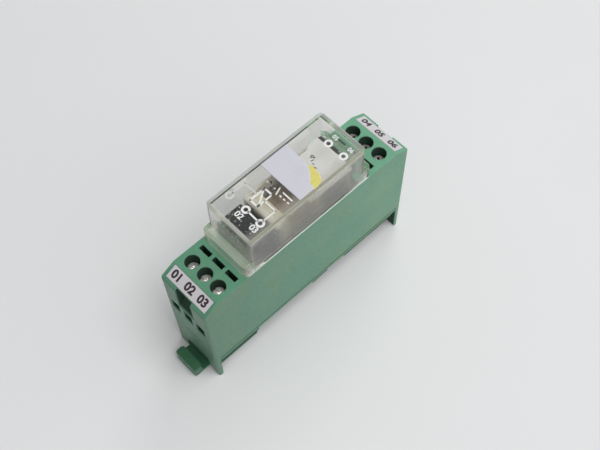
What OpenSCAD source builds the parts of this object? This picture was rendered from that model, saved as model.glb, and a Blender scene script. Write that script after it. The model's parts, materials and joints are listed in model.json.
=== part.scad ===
// Relay module for a 35 mm mounting rail: a narrow green terminal housing with three screw
// terminals at each end, a clear lift-off hood over a plug-size power relay, and a sprung rail foot.
// The origin is the middle of the rail, on the panel behind it. +X runs along the housing towards
// the contact terminals, +Y across it, +Z away from the panel.

/* [Housing] */
// Length over the two noses
length = 75.7; // [75.4:0.1:75.7]
// Width across the side walls
width = 17.5; // [17.5:0.1:17.8]
// Height of the terminal deck above the feet
deck_z = 42; // [41.8:0.1:42.4]
// Height of the label slope's lower edge above the feet
nose_z = 39.4; // [39.3:0.1:39.6]
// Distance of the housing's middle from the middle of the rail
mid_x = 2; // [1.9:0.05:2.1]

/* [Terminals] */
// Distance between neighbouring terminals
pitch = 5.08; // [5.04:0.01:5.1]
// Distance of the terminal screws from the housing's middle
screw_u = 29.6; // [29.5:0.1:29.7]
// Diameter of the screw access holes
access_d = 4.3; // [4.2:0.05:4.4]
// Diameter of a terminal screw's head
head_d = 3.8; // [3.6:0.1:3.9]
// Diameter of a terminal screw's shank
shank_d = 2.6; // [2.5:0.1:2.6]
// Width of a wire entry
entry_w = 3.3; // [3:0.1:3.4]
// Height of a wire entry
entry_h = 4.6; // [4.2:0.1:4.6]

/* [Rail foot] */
// Width of the mounting rail
rail_w = 35; // [34.8:0.1:35]
// Height of the rail seat above the feet
seat_z = 7.5; // [7.4:0.05:7.6]
// Width of the foot latch
latch_w = 8.6; // [8:0.1:8.8]

/* [Hood] */
// Height of the clear hood above the deck
hood_h = 15; // [15:0.5:16]
// Height of the ledge at each end of the hood
ledge_h = 4.6; // [4.4:0.1:5]
// Thickness of the hood's walls
hood_wall = 1.1; // [1:0.05:1.2]

/* [Relay] */
// Length of the relay's case
relay_l = 27.4; // [27.4:0.1:27.6]
// Width of the relay's case
relay_w = 12.7; // [12.6:0.1:12.8]
// Height of the relay's top above the feet
relay_top = 50; // [50:0.1:50.4]
// Diameter of the coil winding
coil_d = 9.2; // [8.6:0.1:9.2]

/* [Hidden] */
$fn = 48;
side_y = width / 2;
wall = 1.15;
inner_y = side_y - wall;
end_u = 36.6;
foot_u = end_u - 1.4;
edge_r = 0.8;
nose_r = 0.9;
slope_u = 32.9;
slope_angle = atan2(deck_z - nose_z, length / 2 - slope_u);
nose_centre_z = nose_z - nose_r * (1 - sin(slope_angle)) / cos(slope_angle);
lean_angle = atan2(length / 2 - end_u, nose_centre_z);
deck_t = 1.4;
tower_u = 23.2;
opening_u = 18.6;
rim_z = 9.3;
seam_z = 10.1;
groove = 0.25;

cell_u = [26.6, 33.2];
cell_half_y = 2.2;
cell_z = [18, 35.9];
head_z = cell_z[1] + 0.6;
head_h = 2;
entry_z = 24.7;
bar_z = [29.6, 30.4];
bar_half_y = 1.3;
slot_u = 24.95;
cage_u = [27, 32.2];
cage_half_y = 2.05;
cage_z = [22.9, 33.7];
tab_u = [21.4, 22.2];
label_half_y = 7.6;
label_span = [0.4, 4.3];
label_recess = 0.3;

lip_x = rail_w / 2 + 0.2;
hook_x = rail_w / 2 - 1.8;
hook_top_z = seat_z - 1.15;
foot_top_z = rim_z - 1.2;
block_z = 4.6;
foot_half_y = 7.3;
guide_x = mid_x - foot_u + 0.3;
tongue_z = [0.9, 2.6];
spring_x = [-25.9, -17.6];
spring_z = 4.05;
spring_r = 1.1;
spring_wire = 0.15;
spring_turns = 5;
spring_steps = 10;
spring_sides = 6;

hood_u = 20.5;
ledge_u = 22.8;
hood_half_y = 8.6;
hood_inner_y = hood_half_y - hood_wall;
hood_z = deck_z + 0.05;
hood_top_z = deck_z + hood_h;
skirt_half_y = 6.8;

board_u = 22.6;
board_z = [33, 34.6];
pin_bottom_z = board_z[0] - 0.8;
relay_x = [-8.2, -8.2 + relay_l];
case_t = 0.65;
relay_inner_y = relay_w / 2 - case_t;
base_top_z = 37.4;
coil_z = 43.3;
coil_x = [-3.5, 6.5];
core_r = 1.55;
yoke_t = 1;
yoke_half_y = 4.4;
armature_x = [8.85, 9.85];
armature_z = [38.7, 47.75];
card_z = [47.9, 48.5];
tip_z = 48.7;
leaf_x = 13.9;
contact_z = 45.2;
contact_r = 1.1;
coil_pin_x = -5.2;
coil_pin_y = 4.95;

// ---------- helpers ----------

// Box between two opposite corners
module block(low, high) translate(low) cube(high - low);

// Rectangle with round corners, centred on the origin
module rounded_plan(half_x, half_y, r) {
    square([2 * (half_x - r), 2 * half_y], center = true);
    square([2 * half_x, 2 * (half_y - r)], center = true);
    for (sx = [-1, 1], sy = [-1, 1])
        translate([sx * (half_x - r), sy * (half_y - r)]) circle(r);
}

// Side outline in X and Z, given thickness across Y
module across(half_y) rotate([90, 0, 0]) linear_extrude(2 * half_y, center = true) children();

// Children drawn for the +X end are put at either end of the housing
module at_end(side) translate([mid_x, 0, 0]) mirror([side < 0 ? 1 : 0, 0, 0]) children();

// Place of terminal 1 to 6: 1 to 3 at the coil end, 4 to 6 at the contact end
module at_terminal(number)
    at_end(number <= 3 ? -1 : 1) translate([0, (1 - (number - 1) % 3) * pitch, 0]) children();

// Frame on the label slope: +X runs down the slope, +Z stands out of it
module on_slope() translate([slope_u, 0, deck_z]) rotate([0, slope_angle, 0]) children();

// Round bar along X
module bar_x(x0, x1, y, z, r) translate([x0, y, z]) rotate([0, 90, 0]) cylinder(r = r, h = x1 - x0);

// ---------- housing ----------

// Half of the housing's side outline: deck, label slope and round nose
module side_outline() {
    nose_x = length / 2 - nose_r;
    translate([nose_x, nose_centre_z]) circle(nose_r);
    polygon([
        [0, 0], [length / 2, 0], [length / 2, nose_centre_z], [nose_x, nose_centre_z],
        [nose_x + nose_r * sin(slope_angle), nose_centre_z + nose_r * cos(slope_angle)],
        [slope_u, deck_z], [0, deck_z]
    ]);
}

// Block with round upright edges whose end wall leans out from the foot to the nose
module leaning_block() translate([end_u, 0, 0]) rotate([0, lean_angle, 0])
    translate([-length, 0, -5]) linear_extrude(deck_z + 10) rounded_plan(length, side_y, edge_r);

module housing_outside() intersection() {
    at_end(-1) leaning_block();
    at_end(1) leaning_block();
    translate([mid_x, 0, 0]) across(side_y) {
        side_outline();
        mirror([1, 0]) side_outline();
    }
}

module housing_cavity() translate([mid_x, 0, 0]) {
    // Open between the two feet, below the side walls
    block([-foot_u, -width, -1], [foot_u, width, seam_z]);
    // Hollow for the circuit board
    block([-tower_u, -inner_y, seam_z - 1], [tower_u, inner_y, deck_z - deck_t]);
    // Room under the terminals
    block([-foot_u, -inner_y, seam_z - 1], [foot_u, inner_y, cell_z[0]]);
    // Opening under the hood
    block([-opening_u, -inner_y, deck_z - deck_t - 1], [opening_u, inner_y, deck_z + 1]);
}

// Cell, access hole, bridge slot, bar slot and wire entry of one terminal
module terminal_cuts() {
    block([cell_u[0], -cell_half_y, cell_z[0] - 1], [cell_u[1], cell_half_y, cell_z[1]]);
    translate([screw_u, 0, head_z]) cylinder(d = access_d, h = deck_z - head_z + 1);
    translate([screw_u, 0, cell_z[1] - 0.5]) cylinder(d = shank_d + 0.2, h = 1.5);
    block([slot_u - 0.725, -2, deck_z - 8], [slot_u + 0.725, 2, deck_z + 1]);
    block([tower_u - 1, -bar_half_y, bar_z[0]], [cell_u[0] + 1, bar_half_y, bar_z[1]]);
    block([cell_u[1] - 1, -entry_w / 2, entry_z], [length, entry_w / 2, entry_z + entry_h]);
}

// Label seat, finger scoop through the nose and the short slot in an end wall
module end_cuts() {
    scoop_r = 7.1;
    on_slope() block([label_span[0] - 0.04, -label_half_y - 0.05, -label_recess],
                     [label_span[1] + 0.04, label_half_y + 0.05, 3]);
    translate([length / 2 + 4.5, 0, 35.2]) rotate([90, 0, 0]) cylinder(r = scoop_r, h = 6, center = true);
    block([end_u - 0.6, -3, 16], [length, 3, 16.5]);
}

// Window for the foot latch, with one foot bevelled beside it
module latch_window() {
    block([foot_u - 1, -4.5, -1], [length, 4.5, 5.5]);
    translate([foot_u - 1, 0, 0]) rotate([90, 0, 90]) linear_extrude(5)
        polygon([[-4.4, 3], [-4.5, 3], [-7.3, 0], [-7.3, -1], [-4.4, -1]]);
}

// Ledges inside the side walls that the circuit board rests on
module board_ledges() translate([mid_x, 0, 0])
    for (sx = [-1, 1], sy = [-1, 1]) translate([sx * 15, sy * (inner_y - 0.2), board_z[0] - 0.75])
        cube([6, 1.1, 1.5], center = true);

module housing() color("mediumaquamarine") {
    difference() {
        housing_outside();
        housing_cavity();
        for (number = [1:6]) at_terminal(number) terminal_cuts();
        for (side = [-1, 1]) at_end(side) end_cuts();
        at_end(-1) latch_window();
    }
    board_ledges();
}

module label_strip(side) color("gainsboro") at_end(side) on_slope()
    block([label_span[0], -label_half_y, -label_recess], [label_span[1], label_half_y, 0.1]);

// ---------- rail foot and its latch ----------

module rail_foot_solid() {
    translate([mid_x, 0, 0]) {
        block([0.1 - foot_u, -side_y, rim_z], [foot_u - 0.1, side_y, seam_z - groove]);
        block([0.1 - foot_u, groove - side_y, rim_z], [foot_u - 0.1, side_y - groove, seam_z]);
        block([-22.8, -7.5, rim_z], [22.8, 7.5, 12.5]);
    }
    block([guide_x, -foot_half_y, foot_top_z], [mid_x + foot_u - 0.3, foot_half_y, rim_z + 0.1]);
    // Seat pads for the two rail flanges
    for (side = [-1, 1]) translate([side * 12.7, 0, (seat_z + rim_z) / 2])
        cube([4.6, 14.6, rim_z - seat_z], center = true);
    // Rib that drops into the rail
    block([3.7, -foot_half_y, 4.7], [9.9, foot_half_y, rim_z]);
    // Fixed hook
    across(foot_half_y) polygon([
        [lip_x, rim_z], [lip_x, hook_top_z], [hook_x, hook_top_z], [hook_x, hook_top_z - 0.45],
        [hook_x + 1.3, block_z], [mid_x + foot_u - 0.3, block_z], [mid_x + foot_u - 0.3, rim_z]
    ]);
    // Guide block for the latch
    block([guide_x, -foot_half_y, block_z], [-lip_x, foot_half_y, rim_z]);
    block([guide_x, -6.2, 0.3], [-lip_x, 6.2, block_z + 0.1]);
}

module rail_foot() color("seagreen") difference() {
    rail_foot_solid();
    translate([mid_x, 0, 0]) block([-21.6, -6.4, 10.6], [21.6, 6.4, 13]);
    // Channel for the latch's tongue, open below between two ledges
    block([guide_x - 1, -4.6, 0.8], [-lip_x + 1, 4.6, 2.75]);
    block([guide_x - 1, -3.6, 0], [-lip_x + 1, 3.6, 1]);
    // Room for the latch's hook and its spring
    block([-lip_x - 2.9, -4.6, 2], [-lip_x + 1, 4.6, 6.6]);
    block([spring_x[0] - 0.1, -1.4, 2], [-lip_x - 2, 1.4, 5.4]);
}

module foot_latch() color("seagreen") {
    half_y = latch_w / 2;
    tip_x = mid_x - length / 2 - 4;
    difference() {
        union() {
            block([tip_x + 1, -half_y, tongue_z[0]], [-hook_x - 0.1, half_y, tongue_z[1]]);
            translate([tip_x + 1.475, 0, 0.7]) linear_extrude(3.7) rounded_plan(1.475, half_y, 0.8);
        }
        // Gap for a screwdriver's blade, between the grip and the end wall
        block([tip_x + 2.95, -half_y - 1, 1.5], [mid_x - end_u, half_y + 1, 5]);
    }
    across(half_y) polygon([
        [-17.55, 2], [-15.8, 2], [-15.8, hook_top_z - 0.45], [-16.25, hook_top_z],
        [-17.55, hook_top_z]
    ]);
}

// Ring of points around the spring's wire, after a part t of its length
function spring_ring(t) =
    let (turn = 360 * spring_turns * t, x = spring_x[0] + 0.2 + (spring_x[1] - spring_x[0] - 0.4) * t)
    [for (k = [0:spring_sides - 1])
        let (a = 360 * k / spring_sides, r = spring_r + spring_wire * cos(a))
        [x + spring_wire * sin(a), r * cos(turn), spring_z + r * sin(turn)]];

module latch_spring() color("silver") {
    rings = spring_turns * spring_steps;
    points = [for (i = [0:rings]) each spring_ring(i / rings)];
    sides = [for (i = [0:rings - 1], k = [0:spring_sides - 1])
        let (next = (k + 1) % spring_sides, a = i * spring_sides, b = a + spring_sides)
        each [[a + k, a + next, b + next], [a + k, b + next, b + k]]];
    first = [for (k = [spring_sides - 1:-1:0]) k];
    last = [for (k = [0:spring_sides - 1]) rings * spring_sides + k];
    polyhedron(points, concat([first, last], sides));
}

// ---------- hood ----------

module hood() color("ivory", 0.4) translate([mid_x, 0, 0]) difference() {
    union() {
        translate([0, 0, hood_z]) linear_extrude(hood_top_z - hood_z)
            rounded_plan(hood_u, hood_half_y, 1.3);
        translate([0, 0, hood_z]) linear_extrude(ledge_h) rounded_plan(ledge_u, hood_half_y, 1.3);
        block([-16, -hood_inner_y, deck_z - 2], [16, hood_inner_y, hood_z + 1]);
    }
    block([hood_wall - hood_u, -hood_inner_y, hood_z + 1.4],
          [hood_u - hood_wall, hood_inner_y, hood_top_z - hood_wall]);
    block([hood_wall - ledge_u, -hood_inner_y, hood_z + 1.4],
          [ledge_u - hood_wall, hood_inner_y, hood_z + ledge_h - hood_wall]);
    block([hood_wall - ledge_u, -skirt_half_y, deck_z - 3],
          [ledge_u - hood_wall, skirt_half_y, hood_z + 2]);
}

// Paper label on the hood, with one edge torn away
module hood_label() color("lavender") translate([0, 0, hood_top_z]) linear_extrude(0.12)
    polygon([[-0.6, 7.2], [-0.6, -7.7], [3.4, -7.7], [5, -5.5], [6.2, -2.4], [7.1, -0.3], [8.7, 7.2]]);

// ---------- terminals ----------

module terminal_screw(number) color("gainsboro") at_terminal(number) translate([screw_u, 0, 0])
    difference() {
        union() {
            translate([0, 0, bar_z[1] + 0.05]) cylinder(d = shank_d, h = head_z - bar_z[1]);
            translate([0, 0, head_z + 0.02]) cylinder(d = head_d, h = head_h - 0.3);
            translate([0, 0, head_z + head_h - 0.3]) cylinder(d1 = head_d, d2 = head_d - 0.6, h = 0.3);
        }
        rotate(35 + 17 * number) {
            cube_z = head_z + head_h - 0.8;
            block([-head_d, -0.3, cube_z], [head_d, 0.3, cube_z + 2]);
            block([-0.3, -1.2, cube_z - 0.3], [0.3, 1.2, cube_z + 2]);
        }
    }

module clamp_cage(number) color("silver") at_terminal(number) difference() {
    block([cage_u[0], -cage_half_y, cage_z[0]], [cage_u[1], cage_half_y, cage_z[1]]);
    block([cage_u[0] - 1, 0.6 - cage_half_y, cage_z[0] + 1],
          [cage_u[1] + 1, cage_half_y - 0.6, cage_z[1] - 1.5]);
    translate([screw_u, 0, cage_z[1] - 2]) cylinder(d = shank_d + 0.1, h = 3);
}

module current_bar(number) color("burlywood") at_terminal(number) {
    block([tab_u[0], -bar_half_y, bar_z[0]], [cage_u[1] - 0.2, bar_half_y, bar_z[1]]);
    block([tab_u[0], -0.6, bar_z[0]], [tab_u[1], 0.6, board_z[1] + 0.6]);
}

// ---------- circuit board and its parts ----------

module contact_pin_holes(z0, z1) {
    for (x = [leaf_x - 1.9, leaf_x, leaf_x + 1.5]) block([x - 0.35, -0.55, z0], [x + 0.35, 0.55, z1]);
    for (side = [-1, 1]) translate([coil_pin_x, side * coil_pin_y, z0]) cylinder(r = 0.4, h = z1 - z0);
}

module circuit_board() color("darkgreen") difference() {
    translate([mid_x, 0, 0]) block([-board_u, -7.3, board_z[0]], [board_u, 7.3, board_z[1]]);
    for (number = [1:6]) at_terminal(number)
        block([tab_u[0] - 0.1, -0.7, board_z[0] - 1], [tab_u[1] + 0.1, 0.7, board_z[1] + 1]);
    contact_pin_holes(board_z[0] - 1, board_z[1] + 1);
}

module relay_base() color("darkslategray") difference() {
    block([relay_x[0] + 0.7, 0.05 - relay_inner_y, board_z[1] + 0.3],
          [relay_x[1] - 0.7, relay_inner_y - 0.05, base_top_z]);
    contact_pin_holes(board_z[1], base_top_z + 1);
    for (x = [leaf_x - 1.9, leaf_x, leaf_x + 1.5])
        block([x - 0.3, -1.5, board_z[1] + 1.5], [x + 0.3, 1.5, base_top_z + 1]);
}

module relay_case() color("wheat", 0.4) difference() {
    translate([(relay_x[0] + relay_x[1]) / 2, 0, board_z[1]]) linear_extrude(relay_top - board_z[1])
        rounded_plan(relay_l / 2, relay_w / 2, 0.6);
    block([relay_x[0] + case_t, -relay_inner_y, board_z[1] - 1],
          [relay_x[1] - case_t, relay_inner_y, relay_top - 0.6]);
}

module coil_bobbin() color("beige") difference() {
    union() {
        block([-6.1, -5.5, base_top_z + yoke_t + 0.15], [coil_x[0], 5.5, 48.6]);
        block([-7.4, -5.5, 46.8], [coil_x[0], 5.5, 48.6]);
        block([coil_x[1], -5.2, base_top_z + yoke_t + 0.15], [coil_x[1] + 1, 5.2, 48.2]);
        bar_x(coil_x[0] - 1, coil_x[1] + 1, 0, coil_z, 2.3);
    }
    bar_x(-8, 8, 0, coil_z, core_r + 0.05);
    for (side = [-1, 1]) translate([coil_pin_x, side * coil_pin_y, 36]) cylinder(r = 0.4, h = 4.5);
}

module coil_winding() color("peru") difference() {
    bar_x(coil_x[0], coil_x[1], 0, coil_z, coil_d / 2);
    bar_x(coil_x[0] - 1, coil_x[1] + 1, 0, coil_z, 2.3);
}

module coil_core() color("silver") {
    bar_x(-7.4, 8, 0, coil_z, core_r);
    bar_x(coil_x[1] + 1.1, 8.4, 0, coil_z, 3);
}

module coil_pins() color("silver") for (side = [-1, 1])
    translate([coil_pin_x, side * coil_pin_y, pin_bottom_z]) cylinder(r = 0.35, h = 40 - pin_bottom_z);

module yoke() color("silver") difference() {
    union() {
        block([-7.4, -yoke_half_y, base_top_z + 0.1], [-6.2, yoke_half_y, 46.6]);
        block([-7.4, -yoke_half_y, base_top_z + 0.1], [8.7, yoke_half_y, base_top_z + 0.1 + yoke_t]);
    }
    bar_x(-8, -6, 0, coil_z, core_r);
}

module armature() color("silver") {
    block([armature_x[0], -4.2, armature_z[0]], [armature_x[1], 4.2, armature_z[1]]);
    block([armature_x[0], -1.2, armature_z[0]], [armature_x[1], 1.2, tip_z]);
}

module actuator_card() color("white") difference() {
    block([armature_x[0] - 0.6, -2.6, card_z[0]], [leaf_x + 1, 2.6, card_z[1]]);
    block([armature_x[0] - 0.1, -1.3, card_z[0] - 1], [armature_x[1] + 0.1, 1.3, card_z[1] + 1]);
    block([leaf_x - 0.2, -1.6, card_z[0] - 1], [leaf_x + 0.2, 1.6, card_z[1] + 1]);
}

module contact_leaf() color("goldenrod") {
    block([leaf_x - 0.1, -1.5, base_top_z + 0.7], [leaf_x + 0.1, 1.5, tip_z]);
    bar_x(leaf_x - 0.6, leaf_x + 0.6, 0, contact_z, contact_r);
}

// Blade fixed in the relay's base, with its pin through the board
module blade(x, top_z) {
    block([x - 0.3, -1.5, board_z[1] + 1.5], [x + 0.3, 1.5, top_z]);
    block([x - 0.3, -0.5, pin_bottom_z], [x + 0.3, 0.5, board_z[1] + 1.6]);
}

module common_blade() color("goldenrod") blade(leaf_x, base_top_z + 0.6);

module make_contact() color("goldenrod") {
    blade(leaf_x - 1.9, 46.6);
    bar_x(leaf_x - 1.7, leaf_x - 0.97, 0, contact_z, contact_r);
}

module break_contact() color("goldenrod") {
    blade(leaf_x + 1.5, 46.6);
    bar_x(leaf_x + 0.63, leaf_x + 1.3, 0, contact_z, contact_r);
}

module contact_cover() color("white") {
    block([10.4, -5.6, tip_z + 0.1], [18.4, 5.6, relay_top - 0.65]);
    block([17.4, -5.6, base_top_z], [18.4, 5.6, relay_top - 0.65]);
}

module input_capacitor() color("black") translate([-12.75, 0, board_z[1]])
    linear_extrude(48 - board_z[1]) rounded_plan(3.85, 6.4, 0.5);

module bridge_rectifier() color("black")
    block([-16, -3.2, board_z[0] - 3], [-9, 3.2, board_z[0]]);

// Body and two leads of a part that lies along X under the board
module axial_part(x, body_l, body_r) {
    z = board_z[0] - 0.3 - body_r;
    bar_x(x - body_l / 2, x + body_l / 2, 0, z, body_r);
    for (side = [-1, 1]) {
        bar_x(x + side * body_l / 2 - 1.2, x + side * body_l / 2 + 1.2, 0, z, 0.3);
        translate([x + side * (body_l / 2 + 0.9), 0, z]) cylinder(r = 0.3, h = board_z[0] - z);
    }
}

module series_resistor() color("tan") axial_part(-1, 6.4, 1.2);

module suppressor_diode() color("dimgray") axial_part(7, 4.4, 1.3);

housing();
rail_foot();
foot_latch();
latch_spring();
hood();
hood_label();
label_strip(-1);  // label_strip_coil_end
label_strip(1);  // label_strip_contact_end
terminal_screw(1);  // terminal_screw_1
terminal_screw(2);  // terminal_screw_2
terminal_screw(3);  // terminal_screw_3
terminal_screw(4);  // terminal_screw_4
terminal_screw(5);  // terminal_screw_5
terminal_screw(6);  // terminal_screw_6
clamp_cage(1);  // clamp_cage_1
clamp_cage(2);  // clamp_cage_2
clamp_cage(3);  // clamp_cage_3
clamp_cage(4);  // clamp_cage_4
clamp_cage(5);  // clamp_cage_5
clamp_cage(6);  // clamp_cage_6
current_bar(1);  // current_bar_1
current_bar(2);  // current_bar_2
current_bar(3);  // current_bar_3
current_bar(4);  // current_bar_4
current_bar(5);  // current_bar_5
current_bar(6);  // current_bar_6
circuit_board();
relay_base();
relay_case();
coil_bobbin();
coil_winding();
coil_core();
coil_pins();
yoke();
armature();
actuator_card();
contact_leaf();
common_blade();
make_contact();
break_contact();
contact_cover();
input_capacitor();
bridge_rectifier();
series_resistor();
suppressor_diode();
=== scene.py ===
import json
import math

import bmesh
import bpy
from mathutils import Matrix, Vector, noise


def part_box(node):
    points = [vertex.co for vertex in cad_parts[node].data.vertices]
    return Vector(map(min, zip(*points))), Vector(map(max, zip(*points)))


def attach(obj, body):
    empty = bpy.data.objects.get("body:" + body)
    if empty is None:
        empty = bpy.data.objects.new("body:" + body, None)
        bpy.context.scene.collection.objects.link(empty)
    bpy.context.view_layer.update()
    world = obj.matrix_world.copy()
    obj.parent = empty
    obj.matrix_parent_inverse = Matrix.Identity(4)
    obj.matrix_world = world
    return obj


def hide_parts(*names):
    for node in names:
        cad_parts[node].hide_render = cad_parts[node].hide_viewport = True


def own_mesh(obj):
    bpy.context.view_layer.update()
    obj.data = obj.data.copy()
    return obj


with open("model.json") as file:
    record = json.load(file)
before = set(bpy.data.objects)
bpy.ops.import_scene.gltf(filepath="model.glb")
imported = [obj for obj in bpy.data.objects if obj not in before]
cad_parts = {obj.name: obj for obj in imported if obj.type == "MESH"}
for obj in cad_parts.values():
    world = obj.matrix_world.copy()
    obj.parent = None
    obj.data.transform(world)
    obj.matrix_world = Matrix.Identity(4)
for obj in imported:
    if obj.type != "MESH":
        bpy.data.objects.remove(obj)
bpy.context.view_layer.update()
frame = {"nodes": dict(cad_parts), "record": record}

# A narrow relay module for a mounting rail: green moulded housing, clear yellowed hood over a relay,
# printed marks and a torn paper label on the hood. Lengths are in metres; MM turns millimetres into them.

MM = 0.001
NODES = frame["nodes"]


# ---------- places worked out from the frame ----------

def centre(node):
    """Middle of a node's box."""
    low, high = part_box(node)
    return (low + high) / 2


def top_face(node):
    """Middle and normal of a node's upward faces, weighed by their areas."""
    faces = [p for p in NODES[node].data.polygons if p.normal.z > 0.5]
    area = sum(p.area for p in faces)
    middle = sum((p.center * p.area for p in faces), Vector()) / area
    normal = sum((p.normal * p.area for p in faces), Vector()).normalized()
    return middle, normal


HOUSING_LOW, HOUSING_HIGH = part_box("housing")
HOUSING_MIDDLE = centre("housing")
SLOPE_POINT, SLOPE_NORMAL = top_face("label_strip_contact_end")
HOOD_MIDDLE = centre("hood")
HOOD_HALF_LENGTH = 20.5 * MM    # of the tall part, without the ledges
HOOD_HALF_WIDTH = (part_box("hood")[1] - HOOD_MIDDLE).y
LABEL_LOW, LABEL_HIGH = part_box("hood_label")
HOOD_TOP = LABEL_LOW.z
RELAY_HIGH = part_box("relay_case")[1]
NOSE_HEIGHT = 38.7 * MM         # where the end walls, which lean out, reach farthest
END_WALL_LEAN = 1.25 * MM
SEAM_HEIGHT = 10.6 * MM         # between the side walls and the rail foot
SEAM_HALF_LENGTH = 35.1 * MM


# ---------- material building ----------

class Paint:
    """A material in the making: one Principled shader and short calls for the nodes that feed it.
    Pattern sizes are in millimetres of the object's own space."""

    def __init__(self, name, base, roughness, metallic=0.0, **sockets):
        self.material = bpy.data.materials.new(name)
        self.material.use_nodes = True
        self.tree = self.material.node_tree
        self.shader = self.tree.nodes["Principled BSDF"]
        self.output = self.tree.nodes["Material Output"]
        self.shader.inputs["Base Color"].default_value = (*base, 1)
        self.shader.inputs["Roughness"].default_value = roughness
        self.shader.inputs["Metallic"].default_value = metallic
        for socket, value in sockets.items():
            self.shader.inputs[socket.replace("_", " ").title().replace("Ior", "IOR")].default_value = value
        place = self.add("ShaderNodeTexCoord")
        scale = self.add("ShaderNodeMapping")
        scale.inputs["Scale"].default_value = (1 / MM,) * 3
        self.link(place.outputs["Object"], scale.inputs["Vector"])
        self.millimetres = scale.outputs["Vector"]
        parts = self.add("ShaderNodeSeparateXYZ")
        self.link(self.millimetres, parts.inputs["Vector"])
        self.place = parts.outputs

    def add(self, kind):
        return self.tree.nodes.new(kind)

    def link(self, source, target):
        self.tree.links.new(source, target)

    def put(self, target, value):
        """Feeds an input from another node's output, or sets it to a plain value."""
        if isinstance(value, bpy.types.NodeSocket):
            self.link(value, target)
        elif isinstance(value, tuple) and len(value) == 3 and target.type == "RGBA":
            target.default_value = (*value, 1)
        else:
            target.default_value = value

    def stretched(self, stretch):
        """Coordinates drawn out along some axes, for brushed or running marks."""
        node = self.add("ShaderNodeMapping")
        node.inputs["Scale"].default_value = stretch
        self.link(self.millimetres, node.inputs["Vector"])
        return node.outputs["Vector"]

    def cloud(self, size, detail=3.0, rough=0.55, stretch=None, distortion=0.0):
        """Noise from 0 to 1 whose features are about size millimetres across."""
        node = self.add("ShaderNodeTexNoise")
        self.link(self.stretched(stretch) if stretch else self.millimetres, node.inputs["Vector"])
        node.inputs["Scale"].default_value = 1 / size
        node.inputs["Detail"].default_value = detail
        node.inputs["Roughness"].default_value = rough
        node.inputs["Distortion"].default_value = distortion
        return node.outputs["Fac"]

    def cells(self, size, feature="F1"):
        """Cell pattern about size millimetres across."""
        node = self.add("ShaderNodeTexVoronoi")
        node.feature = feature
        self.link(self.millimetres, node.inputs["Vector"])
        node.inputs["Scale"].default_value = 1 / size
        return node.outputs["Distance"]

    def ramp(self, source, low, high, at_low=0.0, at_high=1.0):
        """Maps low..high of source to at_low..at_high, held at both ends."""
        node = self.add("ShaderNodeMapRange")
        self.link(source, node.inputs["Value"])
        node.inputs["From Min"].default_value = low
        node.inputs["From Max"].default_value = high
        node.inputs["To Min"].default_value = at_low
        node.inputs["To Max"].default_value = at_high
        return node.outputs["Result"]

    def math(self, operation, a, b=0.0):
        node = self.add("ShaderNodeMath")
        node.operation = operation
        self.put(node.inputs[0], a)
        self.put(node.inputs[1], b)
        return node.outputs["Value"]

    def mix(self, share, first, second, blend="MIX"):
        """Colour that goes from first to second as share goes from 0 to 1."""
        node = self.add("ShaderNodeMix")
        node.data_type = "RGBA"
        node.blend_type = blend
        colours = [socket for socket in node.inputs if socket.type == "RGBA"]
        self.put(node.inputs["Factor"], share)
        self.put(colours[0], first)
        self.put(colours[1], second)
        return next(socket for socket in node.outputs if socket.type == "RGBA")

    def edges(self, radius):
        """1 on rounded outer edges and 0 on flat faces, from how a rounded normal leaves the flat one."""
        rounded = self.add("ShaderNodeBevel")
        rounded.samples = 4
        rounded.inputs["Radius"].default_value = radius * MM
        flat = self.add("ShaderNodeNewGeometry")
        along = self.add("ShaderNodeVectorMath")
        along.operation = "DOT_PRODUCT"
        self.link(rounded.outputs["Normal"], along.inputs[0])
        self.link(flat.outputs["Normal"], along.inputs[1])
        return self.ramp(along.outputs["Value"], 0.985, 0.86)

    def facing_up(self):
        """1 on faces that look up and 0 on walls: for settled dust, and for painted shade on the walls."""
        return self.ramp(self.normal("Z"), 0.3, 0.95)

    def level(self):
        """1 on level faces, upper or lower side, and 0 on walls."""
        return self.ramp(self.math("ABSOLUTE", self.normal("Z")), 0.3, 0.95)

    def normal(self, axis):
        normal = self.add("ShaderNodeNewGeometry")
        parts = self.add("ShaderNodeSeparateXYZ")
        self.link(normal.outputs["Normal"], parts.inputs["Vector"])
        return parts.outputs[axis]

    def inside_housing(self):
        """Depth in millimetres below the housing's outer faces: 0 outside, more in holes and slots."""
        along = self.math("ABSOLUTE", self.math("SUBTRACT", self.place["X"], HOUSING_MIDDLE.x / MM))
        up = self.place["Z"]
        half_length = (HOUSING_HIGH.x - HOUSING_LOW.x) / 2 / MM
        lean = self.ramp(up, 0, NOSE_HEIGHT / MM, half_length - END_WALL_LEAN / MM, half_length)
        side = self.math("SUBTRACT", HOUSING_HIGH.y / MM, self.math("ABSOLUTE", self.place["Y"]))
        deck = self.math("SUBTRACT", HOUSING_HIGH.z / MM, up)
        slope_along = (SLOPE_POINT.x - HOUSING_MIDDLE.x) * SLOPE_NORMAL.x + SLOPE_POINT.z * SLOPE_NORMAL.z
        slope = self.math("SUBTRACT", slope_along / MM, self.math(
            "ADD", self.math("MULTIPLY", along, SLOPE_NORMAL.x), self.math("MULTIPLY", up, SLOPE_NORMAL.z)))
        depth = self.math("SUBTRACT", lean, along)
        for other in (side, deck, slope):
            depth = self.math("MINIMUM", depth, other)
        return depth

    def inside_hood(self):
        """Distance in millimetres from the hood's side walls and its coil end, measured level."""
        side = self.math("SUBTRACT", HOOD_HALF_WIDTH / MM, self.math("ABSOLUTE", self.place["Y"]))
        end = self.math("SUBTRACT", self.place["X"], (HOOD_MIDDLE.x - HOOD_HALF_LENGTH) / MM)
        return self.math("MINIMUM", end, side)

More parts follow.
